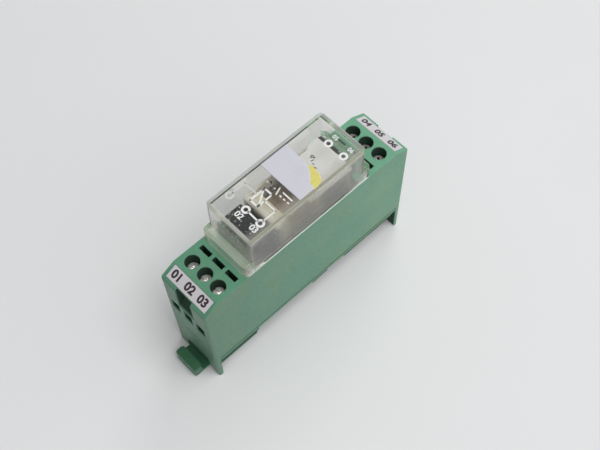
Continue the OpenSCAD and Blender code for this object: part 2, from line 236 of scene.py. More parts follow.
    def seam(self):
        """1 in the line of painted shade along the groove between the housing's side walls and the rail foot.
        """
        off = self.math("ABSOLUTE", self.math("SUBTRACT", self.place["Z"], SEAM_HEIGHT / MM))
        along = self.math("ABSOLUTE", self.math("SUBTRACT", self.place["X"], HOUSING_MIDDLE.x / MM))
        end = SEAM_HALF_LENGTH / MM
        within = self.ramp(along, end, end + 0.2, 1, 0)
        return self.math("MULTIPLY", self.ramp(off, 0.2, 0.34, 0.85, 0), within)

    def bump(self, height, depth, strength=1.0):
        """Relief of depth millimetres from a 0 to 1 height, added on top of any before it."""
        node = self.add("ShaderNodeBump")
        node.inputs["Strength"].default_value = strength
        node.inputs["Distance"].default_value = depth * MM
        self.link(height, node.inputs["Height"])
        before = self.shader.inputs["Normal"]
        if before.is_linked:
            self.link(before.links[0].from_socket, node.inputs["Normal"])
        self.link(node.outputs["Normal"], before)

    def colour(self, source):
        self.put(self.shader.inputs["Base Color"], source)

    def roughness(self, source):
        self.put(self.shader.inputs["Roughness"], source)

    def let_light_in(self, tint):
        """Lamps and bounced light pass straight through, so what is behind the clear wall is lit."""
        surface = self.shader.outputs["BSDF"]
        path = self.add("ShaderNodeLightPath")
        for ray in ("Is Diffuse Ray", "Is Shadow Ray"):
            open_wall = self.add("ShaderNodeBsdfTransparent")
            open_wall.inputs["Color"].default_value = (*tint, 1)
            choice = self.add("ShaderNodeMixShader")
            self.link(path.outputs[ray], choice.inputs[0])
            self.link(surface, choice.inputs[1])
            self.link(open_wall.outputs["BSDF"], choice.inputs[2])
            surface = choice.outputs["Shader"]
        self.link(surface, self.output.inputs["Surface"])

    def absorb(self, colour, density):
        """Colour that deepens with the length of the way through the wall. density is per metre."""
        volume = self.add("ShaderNodeVolumeAbsorption")
        volume.inputs["Color"].default_value = (*colour, 1)
        volume.inputs["Density"].default_value = density
        self.link(volume.outputs["Volume"], self.output.inputs["Volume"])


# ---------- materials ----------

def moulded_plastic(name, base, roughness, dust=0.1, wear_and_highlight=0.25, grain=0.006, painted_recess_shade=None, painted_shade_and_tone=False):
    """Opaque moulded plastic: slow fading, fine eroded grain, paler edges from wear and painted highlight,
    dust on top faces.
    The painted recess shade gives the depths in the housing where painted shade in holes, slots and the side
    groove starts and is full, and the share of colour left there. With painted shade and tone, walls take a
    mottled tone and are darker than top faces, and all is darker towards the coil end: painted shade."""
    paint = Paint(name, base, roughness)
    shade = paint.cloud(9, 4)
    faded = tuple(c * 0.86 + 0.05 for c in base)
    deep = tuple(c * 0.9 for c in base)
    colour = paint.mix(paint.ramp(shade, 0.3, 0.7), deep, base)
    speckle = paint.ramp(paint.cloud(0.35, 2), 0.52, 0.75, 0, 0.35)
    colour = paint.mix(speckle, colour, faded)
    settled = paint.math("MULTIPLY", paint.facing_up(), paint.ramp(paint.cloud(2.2, 5), 0.4, 0.72, 0, dust))
    colour = paint.mix(settled, colour, (0.55, 0.56, 0.5))
    # Paler edges: wear, and painted highlight along the edges.
    edge_wear_and_highlight = paint.math("MULTIPLY", paint.edges(0.25), paint.ramp(paint.cloud(1.4, 4), 0.35, 0.65, 0, wear_and_highlight))
    colour = paint.mix(edge_wear_and_highlight, colour, tuple(min(c * 1.35 + 0.06, 1) for c in base))
    # Painted shade: walls darker than top faces, and all darker towards the coil end; the cloud gives the
    # walls a mottled tone.
    if painted_shade_and_tone:
        tone = paint.mix(paint.ramp(paint.cloud(16, 2), 0.38, 0.62), (0.9, 0.79, 0.84), (1.12, 0.8, 0.8))
        walls = paint.mix(paint.facing_up(), tone, (1, 1, 1))
        colour = paint.mix(1.0, colour, walls, "MULTIPLY")
        colour = paint.mix(1.0, colour, paint.mix(paint.ramp(paint.place["X"], -40, 30), (0.68, 0.67, 0.68),
                                                  (1, 0.97, 0.97)), "MULTIPLY")
    matt = paint.ramp(paint.cloud(1.1, 3), 0.3, 0.7, roughness - 0.07, roughness + 0.1)
    # Painted shade in holes, slots and the groove above the rail foot.
    if painted_recess_shade:
        start, full, left = painted_recess_shade
        painted_shade_share = paint.math("MAXIMUM", paint.ramp(paint.inside_housing(), start, full, 0, 0.97), paint.seam())
        colour = paint.mix(painted_shade_share, colour, tuple(c * left for c in base))
        matt = paint.math("ADD", matt, paint.math("MULTIPLY", painted_shade_share, 0.5))
    paint.colour(colour)
    paint.roughness(matt)
    paint.bump(paint.cloud(0.16, 2), grain)
    paint.bump(paint.cloud(4.5, 2), grain * 4)
    return paint.material


def hood_marks(paint, colour, haze, level):
    """Marks of the hood: age marks, a hazy top border and coil end and brown stains on the middle of its
    front wall;
    a darker grey front wall, painted shade for the shaded inside seen through it; and a painted highlight
    along the front wall's bottom edge. Returns the wall's colour, the haze and the haze's colour."""
    top, bottom = HOOD_TOP / MM, HOUSING_HIGH.z / MM
    coil_x, far_x = ((HOOD_MIDDLE.x + side * HOOD_HALF_LENGTH) / MM for side in (-1, 1))
    front = paint.ramp(paint.place["Y"], -8, -5, 1, 0)
    near = paint.math("MAXIMUM", front, paint.ramp(paint.place["X"], coil_x - 0.1, coil_x + 1.5, 1, 0))
    # Darker grey front wall: painted shade for the shaded inside seen through it.
    colour = paint.mix(front, colour, (0.74, 0.73, 0.7))
    at_top = paint.ramp(paint.place["Z"], top - 1.2, top - 1, 0, 1)
    rim = paint.math("MULTIPLY", paint.ramp(paint.inside_hood(), 0.9, 1.15, 1, 0), at_top)
    rim = paint.math("MULTIPLY", rim, paint.ramp(near, 0, 1, 0.52, 0.36))
    far_rim = paint.math("MULTIPLY", paint.ramp(paint.place["X"], far_x - 1.15, far_x - 0.9, 0, 0.26), at_top)
    upper = paint.math("MULTIPLY", paint.ramp(paint.place["Z"], top - 3, top, 0, 0.22), front)
    coil_end = paint.ramp(paint.place["X"], coil_x + 0.1, coil_x + 0.5, 0.16, 0)
    off_middle = paint.math("ABSOLUTE", paint.math("SUBTRACT", paint.place["X"], 1))
    stain = paint.math("MULTIPLY", paint.ramp(paint.cloud(4, 4, 0.6, distortion=0.4), 0.45, 0.68, 0, 0.7),
                       paint.ramp(off_middle, 5, 10, 1, 0))
    stain = paint.math("MULTIPLY", paint.math("MULTIPLY", stain, front), paint.ramp(level, 0, 1, 1, 0))
    colour = paint.mix(stain, colour, (0.56, 0.45, 0.19))
    for more in (rim, far_rim, upper, coil_end, paint.math("MULTIPLY", stain, 0.1)):
        haze = paint.math("MAXIMUM", haze, more)
    # Bright line along the front wall's bottom edge: painted highlight.
    lip = paint.math("MULTIPLY", paint.ramp(paint.place["Z"], bottom + 0.4, bottom + 0.55, 1, 0),
                     paint.ramp(paint.place["Y"], -8.5, -8.4, 1, 0))
    hazy = paint.mix(near, (0.66, 0.67, 0.66), (0.5, 0.45, 0.26))
    return colour, paint.math("MAXIMUM", haze, lip), paint.mix(lip, hazy, (0.95, 0.95, 0.9))


def case_marks(paint, colour, haze, level):
    """Age marks of the relay's case: a cloudy coil end and a cloudy back wall. Returns as hood_marks."""
    cloudy = paint.math("MULTIPLY", paint.ramp(paint.place["X"], -6.4, -5.6, 0.5, 0), level)
    back = paint.ramp(paint.place["Y"], 5.5, 5.7, 0, 0.6)
    haze = paint.math("MAXIMUM", haze, paint.math("MAXIMUM", cloudy, back))
    return colour, haze, (0.75, 0.72, 0.58)


def clear_plastic(name, wall_roughness, wall_shade, tint, absorb_colour, density, marks):
    """Clear moulded plastic, a little yellowed, with wiping marks, faint scratches and flow waves.
    Level faces are polished; upright walls are rougher and let less through. marks adds ageing, and on the
    hood also painted shade and a painted highlight."""
    paint = Paint(name, (0.985, 0.985, 0.98), 0.04, ior=1.5)
    level = paint.level()
    edges = paint.edges(0.3)
    smears = paint.ramp(paint.cloud(3.0, 4, stretch=(1, 0.35, 1), distortion=0.6), 0.45, 0.75, 0, 0.07)
    wall_haze = paint.math("MULTIPLY", paint.ramp(level, 0, 1, wall_roughness, 0.03),
                           paint.ramp(paint.place["Y"], -8, -5, 1, 0.35))
    paint.roughness(paint.math("ADD", smears, wall_haze))
    colour = paint.mix(level, (wall_shade,) * 3, (0.985, 0.985, 0.98))
    colour, haze, hazy = marks(paint, colour, paint.math("MULTIPLY", edges, 0.6), level)
    paint.colour(paint.mix(haze, colour, hazy))
    paint.put(paint.shader.inputs["Transmission Weight"], paint.ramp(haze, 0, 1, 0.993, 0.0))
    paint.bump(paint.cloud(7, 1), 0.05, 0.25)
    scratch = paint.ramp(paint.cloud(0.5, 2, stretch=(0.12, 1, 1), distortion=1.2), 0.62, 0.66)
    paint.bump(scratch, 0.002, 0.2)
    paint.let_light_in(tint)
    paint.absorb(absorb_colour, density)
    return paint.material


def paper(name, base, stain):
    """Matt paper with fibres, soft stains and a few specks."""
    paint = Paint(name, base, 0.75)
    fibres = paint.cloud(0.25, 4, 0.7)
    colour = paint.mix(paint.ramp(fibres, 0.3, 0.7, 0, 0.35), base, tuple(c * 0.93 for c in base))
    colour = paint.mix(paint.ramp(paint.cloud(3.5, 3), 0.5, 0.8, 0, 0.4), colour, stain)
    specks = paint.ramp(paint.cells(1.9), 0.06, 0.03, 0, 0.7)
    paint.colour(paint.mix(specks, colour, (0.12, 0.11, 0.12)))
    paint.bump(fibres, 0.012, 0.6)
    return paint.material


def glue_film(name):
    """Aged yellow adhesive with thick and thin streaks."""
    paint = Paint(name, (0.65, 0.6, 0.18), 0.38)
    thick = paint.ramp(paint.cloud(0.9, 4, 0.6, distortion=0.8), 0.3, 0.7)
    paint.colour(paint.mix(thick, (0.74, 0.69, 0.24), (0.66, 0.59, 0.08)))
    paint.bump(paint.cloud(0.4, 3), 0.03)
    return paint.material


def ink(name, base):
    """Printed ink, a little uneven and rubbed."""
    paint = Paint(name, base, 0.5)
    rubbed = paint.ramp(paint.cloud(0.35, 4), 0.5, 0.75, 0, 0.35)
    paint.colour(paint.mix(rubbed, base, tuple(0.5 * c + 0.25 for c in base)))
    paint.bump(paint.cloud(0.1, 2), 0.004)
    return paint.material


def plated_metal(name, base, roughness, stain, stained, metallic=1.0):
    """Plated metal with fine rolling lines and patches of tarnish."""
    paint = Paint(name, base, roughness, metallic)
    patches = paint.ramp(paint.cloud(0.9, 5, 0.65), 0.5, 0.68, 0, stained)
    colour = paint.mix(paint.ramp(paint.cloud(0.3, 3), 0.3, 0.7), tuple(c * 0.85 for c in base), base)
    paint.colour(paint.mix(patches, colour, stain))
    paint.roughness(paint.math("ADD", roughness, paint.math("MULTIPLY", patches, 0.35)))
    paint.bump(paint.cloud(0.12, 2, stretch=(0.15, 1, 1)), 0.006)
    return paint.material


def glossy_block(name, base, roughness):
    """Dark glossy moulding with light dust grains on it."""
    paint = Paint(name, base, roughness)
    grains = paint.ramp(paint.cells(1.0), 0.26, 0.16, 0, 0.7)
    grains = paint.math("MULTIPLY", grains, paint.facing_up())
    film = paint.ramp(paint.cloud(2.4, 4), 0.42, 0.75, 0, 0.015)
    colour = paint.mix(film, base, (0.4, 0.42, 0.4))
    paint.colour(paint.mix(grains, colour, (0.7, 0.72, 0.7)))
    paint.roughness(paint.ramp(paint.cloud(1.5, 3), 0.3, 0.7, roughness, roughness + 0.15))
    paint.bump(paint.cloud(0.2, 2), 0.004)
    return paint.material


def wound_wire(name):
    """Brown lacquered wire under a turn of tape: hue shifts from turn to turn, soft shine."""
    paint = Paint(name, (0.34, 0.25, 0.17), 0.42)
    turns = paint.cloud(0.5, 3, stretch=(1, 0.08, 0.08))
    colour = paint.mix(paint.ramp(turns, 0.3, 0.7), (0.2, 0.14, 0.09), (0.4, 0.3, 0.21))
    paint.colour(paint.mix(paint.ramp(paint.cloud(2.5, 3), 0.5, 0.8, 0, 0.5), colour, (0.42, 0.38, 0.31)))
    paint.bump(paint.cloud(0.2, 2, stretch=(1, 0.2, 0.2)), 0.01)
    return paint.material


def circuit_laminate(name):
    """Green lacquered laminate with its glass weave and lighter tracks under the lacquer."""
    paint = Paint(name, (0.03, 0.14, 0.06), 0.32)
    weave = paint.cloud(0.3, 1, stretch=(1, 0.25, 1))
    tracks = paint.ramp(paint.cells(2.4, "DISTANCE_TO_EDGE"), 0.12, 0.16)
    colour = paint.mix(tracks, (0.02, 0.1, 0.045), (0.045, 0.2, 0.08))
    paint.colour(paint.mix(paint.ramp(weave, 0.3, 0.7, 0, 0.3), colour, (0.06, 0.2, 0.09)))
    paint.bump(tracks, 0.03)
    return paint.material


GREEN = moulded_plastic("housing_green", (0.13, 0.39, 0.235), 0.42, dust=0.04, wear_and_highlight=0.45, grain=0.002,
                        painted_recess_shade=(0.25, 0.5, 0.13), painted_shade_and_tone=True)
FOOT_GREEN = moulded_plastic("foot_green", (0.15, 0.42, 0.25), 0.42, dust=0.04,
                             painted_recess_shade=(0.12, 0.24, 0.25), painted_shade_and_tone=True)
# A darker copy of the housing's green for the foot latch: painted shade.
LATCH_GREEN_PAINTED_SHADE = moulded_plastic("latch_green_painted_shade", (0.034, 0.145, 0.068), 0.4, dust=0.05)
CLEAR = clear_plastic("clear_hood", 0.2, 0.97, (0.95, 0.95, 0.94), (0.95, 0.9, 0.5), 25, hood_marks)
CASE_CLEAR = clear_plastic("clear_case", 0.3, 0.7, (0.95, 0.95, 0.93), (0.9, 0.86, 0.7), 20, case_marks)
STRIP = moulded_plastic("label_plastic", (0.66, 0.63, 0.66), 0.45, dust=0.05, wear_and_highlight=0.1, grain=0.003)
CREAM = moulded_plastic("cream_plastic", (0.82, 0.79, 0.6), 0.45, dust=0.05)
WHITE = moulded_plastic("white_plastic", (0.78, 0.78, 0.76), 0.45, dust=0.04, wear_and_highlight=0.05)
DARK = glossy_block("dark_plastic", (0.006, 0.009, 0.01), 0.18)
LABEL_PAPER = paper("label_paper", (0.62, 0.62, 0.68), (0.55, 0.53, 0.6))
GLUE = glue_film("label_glue")
WHITE_INK = ink("white_ink", (0.82, 0.82, 0.8))
FADED_INK = ink("faded_ink", (0.62, 0.63, 0.61))
DARK_INK = ink("dark_ink", (0.03, 0.018, 0.022))
FILM = paper("cover_film", (0.76, 0.76, 0.75), (0.7, 0.7, 0.68))
WINDING = wound_wire("copper_winding")
BOARD = circuit_laminate("board_green")
STEEL = plated_metal("plated_steel", (0.6, 0.6, 0.58), 0.3, (0.3, 0.25, 0.2), 0.3)
SPRING = plated_metal("spring_steel", (0.5, 0.5, 0.5), 0.25, (0.25, 0.2, 0.16), 0.2)
NICKEL = plated_metal("nickel_screw", (1.0, 0.98, 0.93), 0.32, (0.3, 0.17, 0.12), 0.55, 0.8)
TINNED = plated_metal("tinned_brass", (0.7, 0.68, 0.6), 0.35, (0.4, 0.36, 0.28), 0.4)
BRASS = plated_metal("contact_brass", (0.75, 0.55, 0.25), 0.28, (0.35, 0.2, 0.1), 0.4)

SLOT_LOOKS = {
    "housing_green": GREEN,
    "foot_green": FOOT_GREEN,
    "clear_hood": CLEAR,
    "clear_case": CASE_CLEAR,
    "label_plastic": STRIP,
    "label_paper": LABEL_PAPER,
    "cream_plastic": CREAM,
    "white_plastic": WHITE,
    "dark_plastic": DARK,
    "board_green": BOARD,
    "copper_winding": WINDING,
    "plated_steel": STEEL,
    "spring_steel": SPRING,
    "nickel_screw": NICKEL,
    "tinned_brass": TINNED,
    "contact_brass": BRASS,
}


# ---------- CAD nodes: finish and softened edges ----------

def smoothing_group():
    """Geometry nodes that shade a mesh smooth but keep edges sharper than 40 degrees."""
    group = bpy.data.node_groups.new("smooth_by_angle", "GeometryNodeTree")
    group.interface.new_socket("Mesh", in_out="INPUT", socket_type="NodeSocketGeometry")
    group.interface.new_socket("Mesh", in_out="OUTPUT", socket_type="NodeSocketGeometry")
    start = group.nodes.new("NodeGroupInput")
    end = group.nodes.new("NodeGroupOutput")
    faces = group.nodes.new("GeometryNodeSetShadeSmooth")
    edges = group.nodes.new("GeometryNodeSetShadeSmooth")
    edges.domain = "EDGE"
    angle = group.nodes.new("GeometryNodeInputMeshEdgeAngle")
    flat_enough = group.nodes.new("FunctionNodeCompare")
    flat_enough.operation = "LESS_THAN"
    flat_enough.inputs["B"].default_value = math.radians(40)
    group.links.new(start.outputs[0], faces.inputs["Geometry"])
    group.links.new(faces.outputs["Geometry"], edges.inputs["Geometry"])
    group.links.new(angle.outputs["Unsigned Angle"], flat_enough.inputs["A"])
    group.links.new(flat_enough.outputs["Result"], edges.inputs["Shade Smooth"])
    group.links.new(edges.outputs["Geometry"], end.inputs[0])
    return group


SMOOTHING = smoothing_group()


def soften(piece, radius, segments=2):
    """Joins the triangles back into faces and rounds every edge a little, as a mould does."""
    weld = piece.modifiers.new("weld", "WELD")
    weld.merge_threshold = 0.001 * MM
    flats = piece.modifiers.new("flats", "DECIMATE")
    flats.decimate_type = "DISSOLVE"
    flats.angle_limit = math.radians(0.5)
    flats.delimit = {"NORMAL"}
    if radius:
        edges = piece.modifiers.new("edges", "BEVEL")
        edges.width = radius * MM
        edges.segments = segments
        edges.limit_method = "ANGLE"
        edges.angle_limit = math.radians(35)
        edges.use_clamp_overlap = True
    shade = piece.modifiers.new("shade", "NODES")
    shade.node_group = SMOOTHING
    lean = piece.modifiers.new("normals", "WEIGHTED_NORMAL")
    lean.keep_sharp = True


EDGE_RADIUS = {
    "housing": 0.2,
    "rail_foot": 0.15,
    "foot_latch": 0.25,
    "hood": 0.3,
    "label_strip_coil_end": 0.05,
    "label_strip_contact_end": 0.05,
    "relay_case": 0.2,
    "input_capacitor": 0.25,
    "contact_cover": 0.12,
    "coil_bobbin": 0.15,
    "armature": 0.06,
    "yoke": 0.06,
    "terminal_screw": 0.06,
    "clamp_cage": 0.1,
}


def finish_cad_nodes():
    slots = {part["node"]: part["material_slot"] for part in frame["record"]["subparts"]}
    for name, node in NODES.items():
        node.data.materials.clear()
        # The foot latch gets the darker green: painted shade.
        node.data.materials.append(LATCH_GREEN_PAINTED_SHADE if name == "foot_latch" else SLOT_LOOKS[slots[name]])
        kind = name.rstrip("0123456789").rstrip("_")
        soften(node, EDGE_RADIUS.get(kind, 0.03))


finish_cad_nodes()


# ---------- pieces made here ----------

def piece(name, mesh, material, body, slot):
    """A new object in the row frame that rides on a CAD body."""
    made = bpy.data.objects.new(name, mesh)
    bpy.context.scene.collection.objects.link(made)
    mesh.materials.clear()
    mesh.materials.append(material)
    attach(made, body)
    return made


def mesh_from(name, build, smooth=False):
    """Runs build on an empty bmesh, makes its normals consistent and returns the mesh."""
    shape = bmesh.new()
    build(shape)
    bmesh.ops.remove_doubles(shape, verts=shape.verts, dist=1e-8)
    bmesh.ops.recalc_face_normals(shape, faces=shape.faces)
    mesh = bpy.data.meshes.new(name)
    shape.to_mesh(mesh)
    shape.free()
    for face in mesh.polygons:
        face.use_smooth = smooth
    return mesh


def plate(shape, outline, z0, z1):
    """Flat plate between z0 and z1 with the given outline of (x, y) points."""
    low = [shape.verts.new((x, y, z0)) for x, y in outline]
    high = [shape.verts.new((x, y, z1)) for x, y in outline]
    shape.faces.new(high)
    shape.faces.new(low[::-1])
    for i in range(len(outline)):
        k = (i + 1) % len(outline)
        shape.faces.new((low[i], low[k], high[k], high[i]))


def skin(shape, rings):
    """Faces between neighbouring rings of corners."""
    for a, b in zip(rings, rings[1:]):
        for i in range(len(a)):
            k = (i + 1) % len(a)
            shape.faces.new((a[i], a[k], b[k], b[i]))


def ring_plate(shape, x, y, outer, inner, z0, z1, steps=40):
    """Flat ring with a square section."""
    rows = []
    for radius, z in ((outer, z0), (outer, z1), (inner, z1), (inner, z0)):
        turn = [2 * math.pi * i / steps for i in range(steps)]
        rows.append([shape.verts.new((x + radius * math.cos(a), y + radius * math.sin(a), z)) for a in turn])
    skin(shape, rows + rows[:1])


def stroke(shape, a, b, width, z0, z1):
    """Straight printed line between two points, with round ends."""
    a, b = Vector((*a, 0)), Vector((*b, 0))
    heading = math.atan2(b.y - a.y, b.x - a.x)
    outline = []
    for end, start in ((b, heading - math.pi / 2), (a, heading + math.pi / 2)):
        for i in range(7):
            t = start + math.pi * i / 6
            outline.append((end.x + width / 2 * math.cos(t), end.y + width / 2 * math.sin(t)))
    plate(shape, outline, z0, z1)


def digits(name, words, height, weight, thickness, place, material, body, slot):
    """Numbers as thin raised print, their strokes thickened by weight of the height. place takes flat
    text, reading along +X, to where it belongs."""
    curve = bpy.data.curves.new(name, "FONT")
    curve.body = words
    curve.size = height / 0.7
    curve.extrude = thickness / 2
    curve.offset = height * weight
    curve.resolution_u = 4
    curve.align_x = "CENTER"
    curve.align_y = "CENTER"
    flat = bpy.data.objects.new(name + "_curve", curve)
    bpy.context.scene.collection.objects.link(flat)
    bpy.context.view_layer.update()
    mesh = bpy.data.meshes.new_from_object(flat.evaluated_get(bpy.context.evaluated_depsgraph_get()))
    bpy.data.objects.remove(flat)
    bpy.data.curves.remove(curve)
    mesh.transform(place)
    mesh.name = name
    return piece(name, mesh, material, body, slot)


def print_frame(point, normal, along):
    """Matrix whose X runs along the text and whose Z stands out of the surface."""
    z = normal.normalized()
    x = (along - z * along.dot(z)).normalized()
    y = z.cross(x)
    m = Matrix((x, y, z)).transposed().to_4x4()
    m.translation = point
    return m


READING = Vector((0, -1, 0))


def strip_numbers():
    for strip, numbers, height in (("label_strip_coil_end", (1, 2, 3), 2.35),
                                   ("label_strip_contact_end", (4, 5, 6), 2.1)):
        middle, normal = top_face(strip)
        for number in numbers:
            point = Vector((middle.x, centre(f"terminal_screw_{number}").y, middle.z)) + normal * 0.01 * MM
            digits(f"strip_number_{number}", f"0{number}", height * MM, 0.06, 0.03 * MM,
                   print_frame(point, normal, READING), DARK_INK, "housing", "label_plastic")


strip_numbers()


# Printed diagram on the hood: places are measured from the middle of the hood's top
PRINT_LOW = HOOD_TOP - 0.01 * MM
PRINT_HIGH = HOOD_TOP + 0.03 * MM
RING_OUTER = 1.25 * MM
RING_INNER = 0.6 * MM
LINE = 0.5 * MM
COIL_SYMBOL_X = -9.2


def on_hood(x, y):
    """Point on the hood's top, from millimetres off its middle."""
    return (HOOD_MIDDLE.x + x * MM, y * MM)


NEAR_RINGS = [on_hood(-14.3, -0.2), on_hood(-14.4, -5.7)]
FAR_RINGS = [on_hood(14.7, -0.3), on_hood(14.65, -5.9)]
FIRST_RING = on_hood(-14.4, 5.8)


def printed_lines(shape, points, width):
    for a, b in zip(points, points[1:]):
        stroke(shape, a, b, width, PRINT_LOW, PRINT_HIGH)


def hood_print():
    """Generic wiring diagram: five terminals' rings, the first one faded, a coil symbol and their lines."""
    gap = (RING_OUTER + RING_INNER) / 2

    def rings(shape):
        for x, y in NEAR_RINGS + FAR_RINGS:
            ring_plate(shape, x, y, RING_OUTER, RING_INNER, PRINT_LOW, PRINT_HIGH)
        (x0, y0), (x1, y1) = NEAR_RINGS
        stroke(shape, (x0, y0 - gap), (x1, y1 + gap), LINE, PRINT_LOW, PRINT_HIGH)

    def coil_symbol(shape):
        low_y, high_y = -1.6, 1.1
        left, right = COIL_SYMBOL_X - 2.4, COIL_SYMBOL_X + 2.6
        corners = [on_hood(left, low_y), on_hood(right, low_y), on_hood(right, high_y), on_hood(left, high_y)]
        printed_lines(shape, corners + corners[:1], LINE)
        printed_lines(shape, [on_hood(left + 0.4, low_y), on_hood(right - 0.4, high_y)], LINE)
        x, y = NEAR_RINGS[1]
        lead = [on_hood(COIL_SYMBOL_X, low_y), on_hood(COIL_SYMBOL_X, -5.75), (x + gap, y)]
        printed_lines(shape, lead, 0.8 * LINE)

    def rubbed_off(shape):
        x, y = FIRST_RING
        ring_plate(shape, x, y, RING_OUTER, RING_INNER, PRINT_LOW, PRINT_HIGH)
        lead = [(x + gap, y), on_hood(COIL_SYMBOL_X, 5.75), on_hood(COIL_SYMBOL_X, 1.4)]
        printed_lines(shape, lead, 0.7 * LINE)

    piece("hood_print_rings", mesh_from("hood_print_rings", rings), WHITE_INK, "hood", "clear_hood")
    piece("hood_print_coil", mesh_from("hood_print_coil", coil_symbol), WHITE_INK, "hood", "clear_hood")
    piece("hood_print_faded", mesh_from("hood_print_faded", rubbed_off), FADED_INK, "hood", "clear_hood")


def supply_marks():
    """Wave for alternating current, a stroke, and a full and a broken line for direct current."""
    x = -4.75

    def build(shape):
        wave = [on_hood(x + 0.7 * math.sin(2 * math.pi * i / 12), 2.1 - 2.8 * i / 12) for i in range(13)]
        printed_lines(shape, wave, 0.8 * LINE)
        printed_lines(shape, [on_hood(x - 1, -2.2), on_hood(x + 1, -1.5)], 0.7 * LINE)
        printed_lines(shape, [on_hood(x + 0.6, -3.2), on_hood(x + 0.6, -6.4)], 0.8 * LINE)
        for start in (-3.2, -4.6, -6.0):
            printed_lines(shape, [on_hood(x - 0.6, start), on_hood(x - 0.6, start - 0.4)], 0.8 * LINE)

    piece("hood_print_supply", mesh_from("hood_print_supply", build), WHITE_INK, "hood", "clear_hood")


def hood_numbers():
    up = Vector((0, 0, 1))
    places = [("02", NEAR_RINGS[0], -2.4, 1.7, 0.04), ("03", NEAR_RINGS[1], -2.3, 1.7, 0.04),
              ("05", FAR_RINGS[0], 2.55, 1.25, 0.03), ("06", FAR_RINGS[1], 2.6, 1.25, 0.03)]
    for words, (x, y), off, height, weight in places:
        point = Vector((x + off * MM, y, HOOD_TOP + 0.01 * MM))
        digits(f"hood_number_{words}", words, height * MM, weight, 0.04 * MM,
               print_frame(point, up, READING), WHITE_INK, "hood", "clear_hood")


hood_print()
supply_marks()
hood_numbers()


# White cover film on the relay's contact end, with a few small printed marks and a dark strip past the
# relay's end, which is painted shade

def relay_film():
    top = RELAY_HIGH.z
    low_x, high_x = RELAY_HIGH.x - 15.5 * MM, RELAY_HIGH.x - 0.12 * MM
    half_y = RELAY_HIGH.y - 0.12 * MM

    # Dark strip past the relay's end: painted shade in the gap before the hood's end wall.
    def painted_shade_strip(shape):
        lip = 1.15 * MM
        outline = [(high_x, -half_y), (high_x + lip, 0.3 * MM - half_y), (high_x + lip, half_y - 0.3 * MM),
                   (high_x, half_y)]
        plate(shape, outline, top - 3 * MM, top)

    def build(shape):
        cut = 0.35 * MM
        outline = [(low_x, -half_y), (high_x - cut, -half_y), (high_x, cut - half_y), (high_x, half_y - cut),
                   (high_x - cut, half_y), (high_x - 3.6 * MM, half_y), (high_x - 5 * MM, half_y - 0.8 * MM),
                   (low_x, half_y - 0.8 * MM)]
        plate(shape, outline, top - 0.01 * MM, top + 0.08 * MM)

    def marks(shape):
        for x, y, length, slant in ((14.1, 3.3, 1.0, 0.0), (14.1, 3.3, 0.3, -0.9), (13.4, 2.9, 0.9, 0.6),
                                    (12.6, 2.0, 0.2, 0.7), (12.3, 1.2, 0.5, 0.1), (11.7, 0.1, 0.7, 0.3)):
            start, end = (x * MM, y * MM), ((x + slant) * MM, (y - length) * MM)
            stroke(shape, start, end, 0.26 * MM, top + 0.07 * MM, top + 0.1 * MM)

    # Painted shade past the relay's end.
    piece("relay_end_painted_shade", mesh_from("relay_end_painted_shade", painted_shade_strip), DARK, "housing", "dark_plastic")
    piece("relay_film", mesh_from("relay_film", build), FILM, "housing", "white_plastic")
    piece("relay_film_marks", mesh_from("relay_film_marks", marks), DARK_INK, "housing", "white_plastic")


relay_film()


# Paper label on the hood: three cut edges, one torn edge

# Across the hood and along it, in millimetres
TORN_EDGE = [(-7.7, 4.4), (-5.9, 4.9), (-4.2, 6.4), (-3.2, 7.3), (-1.6, 8.1), (0.5, 8.2), (3, 8.5),
             (7.2, 8.7)]
GLUE_EDGE = [(-7.9, 5.6), (-7.2, 7.6), (-5.4, 8.3), (-2.6, 8.9), (-1.5, 8.3)]


def along_table(table, at):
    """Value at a place in a short table of (place, value) pairs, in straight lines between them."""
    for (a, va), (b, vb) in zip(table, table[1:]):
        if at <= b:
            return va + (vb - va) * max(0.0, (at - a) / (b - a))
    return table[-1][1]


def sheet_solid(shape, rows, columns, low_x, high_x, y_range, bottom, top):
    """Closed thin sheet between two edges given as functions of y; top gives its height at u, v."""
    upper, lower = [], []
    for j in range(rows + 1):
        v = j / rows
        y = y_range[0] + (y_range[1] - y_range[0]) * v
        x0, x1 = low_x(y), high_x(y)
        line = [(x0 + (x1 - x0) * i / columns, y, i / columns) for i in range(columns + 1)]
        upper.append([shape.verts.new((x, yy, top(x, yy, u))) for x, yy, u in line])
        lower.append([shape.verts.new((x, yy, bottom)) for x, yy, u in line])
    for j in range(rows):
        for i in range(columns):
            shape.faces.new((upper[j][i], upper[j][i + 1], upper[j + 1][i + 1], upper[j + 1][i]))
            shape.faces.new((lower[j][i], lower[j + 1][i], lower[j + 1][i + 1], lower[j][i + 1]))
        for i in (0, columns):
            shape.faces.new((upper[j][i], upper[j + 1][i], lower[j + 1][i], lower[j][i]))
    for i in range(columns):
        for j in (0, rows):
            shape.faces.new((upper[j][i], upper[j][i + 1], lower[j][i + 1], lower[j][i]))


def ragged(y, size, seed):
    """Torn unevenness in metres at y, with features of about size millimetres."""
    return 0.5 * MM * noise.noise(Vector((y / (size * MM), seed, 0))) + \
        0.25 * MM * noise.noise(Vector((y / (0.3 * size * MM), seed + 5, 0)))


def ragged_edge(table, y, size, seed):
    """Place along the hood of an edge in a table, at y, with its torn unevenness."""
    return along_table([(a * MM, b * MM) for a, b in table], y) + ragged(y, size, seed)


def torn_x(y):
    return ragged_edge(TORN_EDGE, y, 0.8, 1.0)


